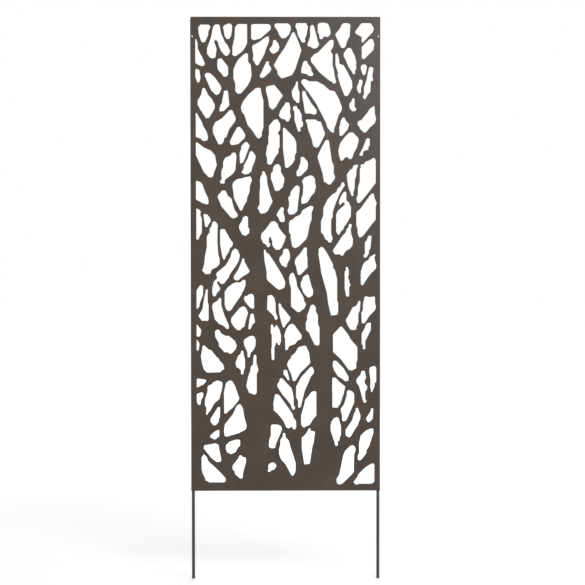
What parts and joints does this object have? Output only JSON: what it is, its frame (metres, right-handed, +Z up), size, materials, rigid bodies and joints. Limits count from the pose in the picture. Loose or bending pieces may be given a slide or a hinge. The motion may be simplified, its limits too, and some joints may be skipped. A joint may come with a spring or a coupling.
{
  "type": "laser cut metal screen",
  "caption": "Tall garden screen: a folded sheet-metal panel with bare branches cut through its face, bolted to two round ground stakes.",
  "frame": {"origin": "midway between the axes of the two ground stakes, level with the panel's lower edge, which is the ground line", "axes": "+Z up along the stakes and the panel's long sides, +X to the right when the front face is seen, -Y out of the front face"},
  "size_m": [0.6, 0.0202, 1.78],
  "materials": {
    "panel_coat": "dark brown fine-textured powder coat, semi-matte, on steel sheet",
    "stake_coat": "dark brown fine-textured powder coat, semi-matte, on round steel rod",
    "screw_coat": "dark brown coated steel screw, semi-matte",
    "washer_zinc": "bright zinc-plated steel, satin",
    "nut_zinc": "bright zinc-plated steel, satin"
  },
  "bodies": {
    "root": {"screen_panel": "panel_coat", "stake_left": "stake_coat", "stake_right": "stake_coat", "stake_screw_left": "screw_coat", "stake_screw_right": "screw_coat", "stake_washer_left": "washer_zinc", "stake_washer_right": "washer_zinc", "stake_nut_left": "nut_zinc", "stake_nut_right": "nut_zinc"}
  },
  "joints": []
}
